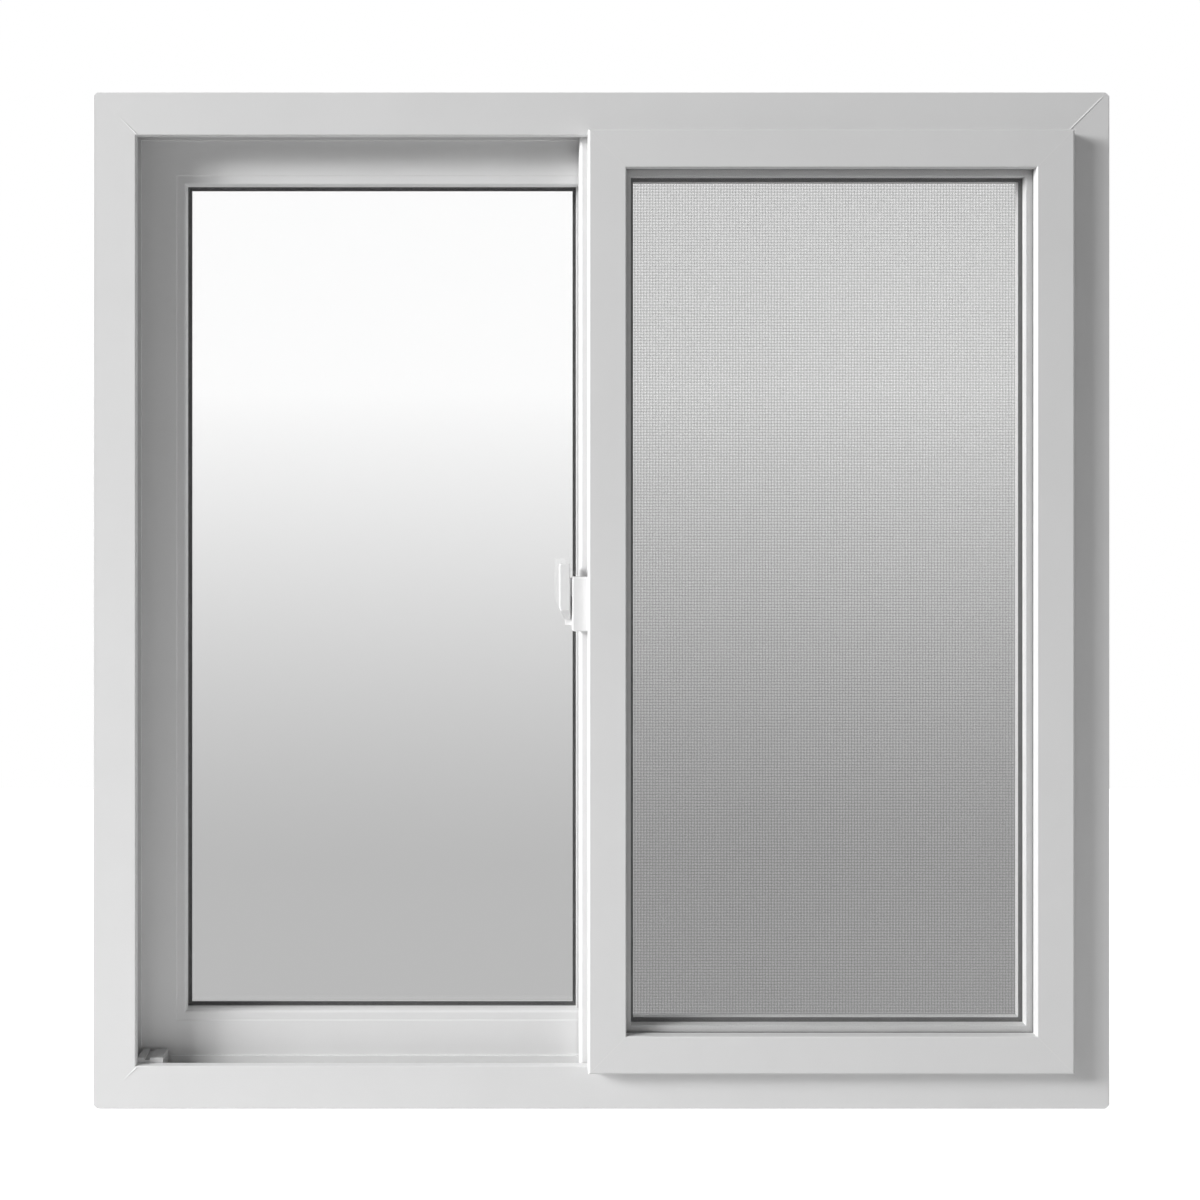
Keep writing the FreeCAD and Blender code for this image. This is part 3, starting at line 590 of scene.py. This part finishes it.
def brush_tree():
    """A strip along X with fibres that stand up from it along Z."""
    inputs = {
        "Length": NUMBER,
        "Width": NUMBER,
        "Depth": NUMBER,
        "Fibre": NUMBER,
        "Gap": NUMBER,
        "Lean": NUMBER,
        "Seed": COUNT,
        "Material": MATERIAL,
    }
    tree, given = growth("pile_brush", inputs)
    length, width, gap, lean = (given[label] for label in ("Length", "Width", "Gap", "Lean"))
    backing = given["Depth"] * BACKING_SHARE
    strip = tree.add("GeometryNodeMeshCube", None, {"Size": tree.vector(length, width, backing)})
    raised = tree.vector(0.0, 0.0, backing * 0.5)
    strip = tree.add("GeometryNodeTransform", None, {"Geometry": strip, "Translation": raised})
    grid = tree.add(
        "GeometryNodeMeshGrid",
        None,
        {
            "Size X": length - gap * 2.0,
            "Size Y": width - gap * 2.0,
            "Vertices X": (length / gap).floor(),
            "Vertices Y": (width / gap).floor(),
        },
    )
    stray = gap * FIBRE_STRAY
    root = backing * FIBRE_ROOT
    shift = tree.add(
        "FunctionNodeRandomValue",
        {"data_type": "FLOAT_VECTOR"},
        {
            "Min": tree.vector(stray * -1.0, stray * -1.0, root),
            "Max": tree.vector(stray, stray, root),
            "Seed": given["Seed"],
        },
    )
    roots = tree.add("GeometryNodeSetPosition", None, {"Geometry": grid, "Offset": shift})
    fibre = tree.add(
        "GeometryNodeMeshCone",
        {"fill_type": "NGON"},
        {
            "Vertices": FIBRE_SIDES,
            "Radius Top": 0.0,
            "Radius Bottom": given["Fibre"],
            "Depth": given["Depth"] - backing,
        },
    )
    turn = tree.add(
        "FunctionNodeRandomValue",
        {"data_type": "FLOAT_VECTOR"},
        {
            "Min": tree.vector(lean * -1.0, lean * -1.0, 0.0),
            "Max": tree.vector(lean, lean, math.tau),
            "Seed": given["Seed"] + 1.0,
        },
    )
    sockets = {"Points": roots, "Instance": fibre, "Rotation": turn}
    pile = tree.add("GeometryNodeInstanceOnPoints", None, sockets)
    return dress(tree, [strip, pile], given["Material"])


def lay_pile(name, group, node, low, high, upright, out):
    """A pile seal in the place of a CAD strip, with its fibres pointing out of the sash."""
    size = high - low
    settings = {
        "Length": size.z if upright else size.x,
        "Width": size.x if upright else size.z,
        "Depth": size.y,
        "Fibre": FIBRE,
        "Gap": FIBRE_GAP,
        "Lean": FIBRE_LEAN,
        "Seed": PILE_SEED,
        "Material": FINISHES["pile"],
    }
    along = Vector((0, 0, 1)) if upright else Vector((1, 0, 0))
    across = out.cross(along)
    turn = Matrix((along, across, out)).transposed().to_4x4()
    middle = (low + high) / 2
    middle.y = low.y if out.y > 0 else high.y
    seal = grown(name, group, settings, Matrix.Translation(middle) @ turn)
    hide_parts(node)


def lay_pile_seals():
    """Three seals with fibres towards the room, and one at the meeting stiles towards the outside."""
    group = brush_tree()
    low, high = corners("sash_pile_seals")
    end = high.x - PILE_SHORTENING
    strips = {
        "pile_bottom": (low, Vector((end, high.y, low.z + PILE_WIDTH)), False),
        "pile_top": (Vector((low.x, low.y, high.z - PILE_WIDTH)), Vector((end, high.y, high.z)), False),
        "pile_right": (
            Vector((high.x - PILE_WIDTH, low.y, low.z + PILE_SHORTENING)),
            Vector((high.x, high.y, high.z - PILE_SHORTENING)),
            True,
        ),
    }
    for name, (first, last, upright) in strips.items():
        lay_pile(name, group, "sash_pile_seals", first, last, upright, TO_ROOM)
    low, high = corners("meeting_pile_seal")
    lay_pile("pile_meeting", group, "meeting_pile_seal", low, high, True, -TO_ROOM)


lay_pile_seals()


# Welded corners: a scraped seam stands a hair proud along each mitre
FRAME_FACE = 38.1 * MM
FRAME_ROUND = 1.2 * MM
CORNER_CUT = 2.0 * MM
OUTER_LEG = 30.0 * MM
SEAM_SLOPE = 1.1 * MM
SEAM_DROP = 0.4 * MM
SEAM_ROOT = 0.05 * MM
SEAM_STEPS = 12
LEFT = BOTTOM = -1
RIGHT = TOP = 1
ROOM_SEAMS = {
    (LEFT, BOTTOM): {"rise": 0.45 * MM, "share": 0.35, "fade": 0.6},
    (LEFT, TOP): {"rise": 0.40 * MM, "share": 0.50, "fade": 0.8},
    (RIGHT, BOTTOM): {"rise": 0.25 * MM, "share": 0.60, "fade": 0.8},
    (RIGHT, TOP): {"rise": 0.40 * MM, "share": 1.0, "fade": 0.1},
}
OUTSIDE_SEAM = {"rise": 0.30 * MM, "share": 1.0, "fade": 0.2}


def weld_seam(shape, start, end, out, rise, fade):
    """A low ridge with a long slope to the left, that fades from its start to its end."""
    across = out.cross((end - start).normalized())
    if across.x > 0:
        across = -across
    rows = []
    for step in range(SEAM_STEPS + 1):
        share = step / SEAM_STEPS
        middle = start.lerp(end, share)
        places = (
            middle + across * SEAM_SLOPE - out * SEAM_ROOT,
            middle + out * rise * (1 - share) ** fade,
            middle - across * SEAM_DROP - out * SEAM_ROOT,
        )
        rows.append([shape.verts.new(place) for place in places])
    for lower, upper in zip(rows, rows[1:]):
        for first, second in ((0, 1), (1, 2), (2, 0)):
            shape.faces.new((lower[first], lower[second], upper[second], upper[first]))
    shape.faces.new(rows[0])
    shape.faces.new(rows[-1])


def seams_round(shape, low, high, inner, out, seams):
    """Seams on the four corners of a face, each along a share of its mitre from the inner end."""
    for (side, level), seam in seams.items():
        corner = Vector((high.x if side == RIGHT else low.x, low.y, high.z if level == TOP else low.z))
        inwards = Vector((-side, 0, -level))
        start = corner + inwards * (inner - FRAME_ROUND)
        outer = corner + inwards * (CORNER_CUT + FRAME_ROUND)
        weld_seam(shape, start, start.lerp(outer, seam["share"]), out, seam["rise"], seam["fade"])


def weld_seams():
    """The frame's seams: each corner its own on the room side, all alike on the outside."""
    shape = bmesh.new()
    low = corners("frame_sill")[0]
    high = corners("frame_head")[1]
    seams_round(shape, low, high, FRAME_FACE, TO_ROOM, ROOM_SEAMS)
    low.y = corners("weep_covers")[0].y
    seams_round(shape, low, high, OUTER_LEG, -TO_ROOM, {corner: OUTSIDE_SEAM for corner in ROOM_SEAMS})
    add_vinyl("weld_seams", shape)


weld_seams()


# Glazing lip: covers the fixed light's spacer on the room side, on all but the meeting stile
LIP_WIDTH = 7.0 * MM
LIP_ROOT = 2.5 * MM
LIP_SETBACK = 0.5 * MM
LIP_ROUND = 2.0 * MM
LIP_GAP = 0.1 * MM
LIP_STEPS = 4


def lay_glazing_lip():
    """A rounded strip round three sides of the glass, mitred at its two left corners."""
    stile_low, stile_high = corners("fixed_side_stile")
    left = stile_high.x
    right = corners("fixed_meeting_stile")[0].x + LIP_ROOT
    low = corners("fixed_bottom_rail")[1].z
    high = corners("fixed_top_rail")[0].z
    front = stile_low.y + LIP_SETBACK
    back = corners("fixed_room_pane")[0].y - LIP_GAP
    section = [(-LIP_ROOT, front), (-LIP_ROOT, back), (LIP_WIDTH, back)]
    for step in range(LIP_STEPS + 1):
        angle = math.pi / 2 * step / LIP_STEPS
        inwards = LIP_WIDTH - LIP_ROUND * (1 - math.cos(angle))
        section.append((inwards, front + LIP_ROUND * (1 - math.sin(angle))))
    stations = (
        (right, low, 0, 1),
        (left, low, 1, 1),
        (left, high, 1, -1),
        (right, high, 0, -1),
    )
    shape = bmesh.new()
    rings = []
    for x, z, way_x, way_z in stations:
        rings.append([shape.verts.new((x + way_x * d, y, z + way_z * d)) for d, y in section])
    for first, second in zip(rings, rings[1:]):
        for index in range(len(section)):
            after = (index + 1) % len(section)
            shape.faces.new((first[index], first[after], second[after], second[index]))
    shape.faces.new(rings[0])
    shape.faces.new(rings[-1])
    add_vinyl("fixed_glazing_lip", shape)


lay_glazing_lip()


# Camera: fitted to the photograph, whose pixels count from its upper left corner
PHOTO_SIZE = 1200
AXIS_PIXEL = (500.0, 490.0)
WINDOW_MIDDLE_PIXEL = (601.3, 600.6)
PIXELS_PER_METRE = 1127.8
CAMERA_DISTANCE = 1250 * MM
SENSOR = 36.0
NEAREST = 10 * MM


def aim_camera():
    """Camera square to the window, a little left of and above its middle, as in the photograph."""
    low, high = corners("frame_sill")
    top = corners("frame_head")[1].z
    across = (AXIS_PIXEL[0] - WINDOW_MIDDLE_PIXEL[0]) / PIXELS_PER_METRE
    up = (WINDOW_MIDDLE_PIXEL[1] - AXIS_PIXEL[1]) / PIXELS_PER_METRE
    lens = bpy.data.cameras.new("camera")
    lens.sensor_fit = "HORIZONTAL"
    lens.sensor_width = SENSOR
    lens.lens = SENSOR * PIXELS_PER_METRE * CAMERA_DISTANCE / PHOTO_SIZE
    lens.shift_x = 0.5 - AXIS_PIXEL[0] / PHOTO_SIZE
    lens.shift_y = AXIS_PIXEL[1] / PHOTO_SIZE - 0.5
    lens.clip_start = NEAREST
    camera = add_object("camera", lens)
    camera.location = (
        (low.x + high.x) / 2 + across,
        low.y - CAMERA_DISTANCE,
        (low.z + top) / 2 + up,
    )
    camera.rotation_euler = (math.pi / 2, 0.0, 0.0)
    bpy.context.scene.camera = camera


# Stage: pale floor, and a net that shades the left jamb's outer side
FLOOR_HALF = 1300 * MM
FLOOR_DROP = 0.5 * MM
FLOOR_TONE = 0.85
FLOOR_GLOW = 0.90
FLAG_GAP = 6.0 * MM
FLAG_REACH = 2.0 * MM
FLAG_SHARE = 0.4


def stage_square(name, material, half, place):
    """A flat square of the stage, given by half its side and a matrix."""
    shape = bmesh.new()
    bmesh.ops.create_grid(shape, x_segments=1, y_segments=1, size=half, matrix=place)
    square = add_mesh(name, shape, material)
    return square


def floor_surface(tree):
    """Pale floor that looks white to the camera and keeps the window's shadow."""
    diffuse = tree.add("ShaderNodeBsdfDiffuse", None, {"Color": grey(FLOOR_TONE)})
    camera = tree.add("ShaderNodeLightPath", output="Is Camera Ray")
    sockets = {"Color": grey(1.0), "Strength": camera * FLOOR_GLOW}
    glow = tree.add("ShaderNodeEmission", None, sockets)
    return tree.add("ShaderNodeAddShader", None, {0: diffuse, 1: glow})


def lay_floor():
    """The floor, just under the sill, that glass and gloss don't see."""
    place = Matrix.Translation((0.0, 0.0, -FLOOR_DROP))
    floor = stage_square("floor", finish("pale_floor", floor_surface), FLOOR_HALF, place)
    floor.visible_transmission = False
    floor.visible_glossy = False


def flag_surface(tree):
    """Net that lets a share of the light through."""
    return tree.add("ShaderNodeBsdfTransparent", None, {"Color": grey(FLAG_SHARE)})


def hang_flag():
    """A net that takes part of the left lamps' light off the left jamb's outer side."""
    low, high = corners("frame_jamb_left")
    depth = high.y - low.y + FLAG_REACH
    middle = Vector((low.x - FLAG_GAP, high.y - depth / 2, (low.z + high.z) / 2))
    size = Matrix.Diagonal((1.0, depth, high.z - low.z, 1.0))
    turn = Matrix.Rotation(math.pi / 2, 4, "Y")
    place = Matrix.Translation(middle) @ size @ turn
    flag = stage_square("light_flag", finish("flag_net", flag_surface), 0.5, place)
    flag.visible_camera = False
    flag.visible_diffuse = False
    flag.visible_glossy = False
    flag.visible_transmission = False


# Light: lamps mainly from the left, and a backdrop in glass and gloss that greys downwards
BACKDROP_PALE = 1.13
BACKDROP_DARK = 0.55
BACKDROP_FOOT = 0.27
BACKDROP_FADE = 0.34
BACKDROP_CURVE = 1.4
LEAST_OUTWARD = 0.05
ROOM_SHOWN = 0.18
ROOM_LIGHT = 0.10
OUTSIDE_LIGHT = 0.55
EDGE_SHARPNESS = 1000.0
LAMP_TARGET = (0.0, 0.0, 0.45)
LAMPS = {
    "key_left": {"place": (-4.98, -2.49, 2.69), "target": LAMP_TARGET, "size": 1.5, "power": 196.0},
    "far_left": {"place": (-5.53, -1.73, 2.01), "target": LAMP_TARGET, "size": 1.5, "power": 261.0},
    "fill_right": {"place": (4.99, -3.33, 0.62), "target": LAMP_TARGET, "size": 1.5, "power": 29.0},
    "low_front": {
        "place": (-0.3, -1.6, 0.12),
        "target": (0.0, 0.0, 0.3),
        "size": 0.8,
        "power": 1.6,
        "mirrored": False,
    },
}


def light_world():
    """Soft light, more of it from outside, and white for the camera."""
    world = bpy.data.worlds.new("studio")
    world.use_nodes = True
    bpy.context.scene.world = world
    tree = Tree(world.node_tree)
    _, y, z = tree.split(tree.add("ShaderNodeTexCoord", output="Generated"))
    slope = z / y.at_least(LEAST_OUTWARD)
    share = ((slope + BACKDROP_FOOT) / BACKDROP_FADE).clamped() ** BACKDROP_CURVE
    backdrop = tree.blend(share, grey(BACKDROP_DARK), grey(BACKDROP_PALE))
    outside = (y * EDGE_SHARPNESS).clamped()
    mirrored = tree.blend(outside, grey(ROOM_SHOWN), backdrop)
    soft = tree.blend(outside, grey(ROOM_LIGHT), grey(OUTSIDE_LIGHT))
    camera = tree.add("ShaderNodeLightPath", output="Is Camera Ray")
    glossy = tree.other(camera, "Is Glossy Ray")
    through = tree.other(camera, "Is Transmission Ray")
    around = tree.blend(glossy.at_least(through), soft, mirrored)
    colour = tree.blend(camera, around, grey(1.0))
    surface = tree.add("ShaderNodeBackground", None, {"Color": colour, "Strength": 1.0})
    tree.add("ShaderNodeOutputWorld", None, {"Surface": surface})


def add_lamp(name, place, target, size, power, mirrored=True):
    """A square soft lamp that points at a target, and shows in gloss and glass unless told not to."""
    lamp = bpy.data.lights.new(name, "AREA")
    lamp.shape = "SQUARE"
    lamp.size = size
    lamp.energy = power
    holder = add_object(name, lamp)
    holder.location = place
    holder.rotation_euler = (Vector(target) - Vector(place)).to_track_quat("-Z", "Y").to_euler()
    holder.visible_glossy = mirrored
    holder.visible_transmission = mirrored


aim_camera()
lay_floor()
hang_flag()
light_world()
for name, settings in LAMPS.items():
    add_lamp(name, **settings)
bpy.context.scene.view_settings.view_transform = "Standard"
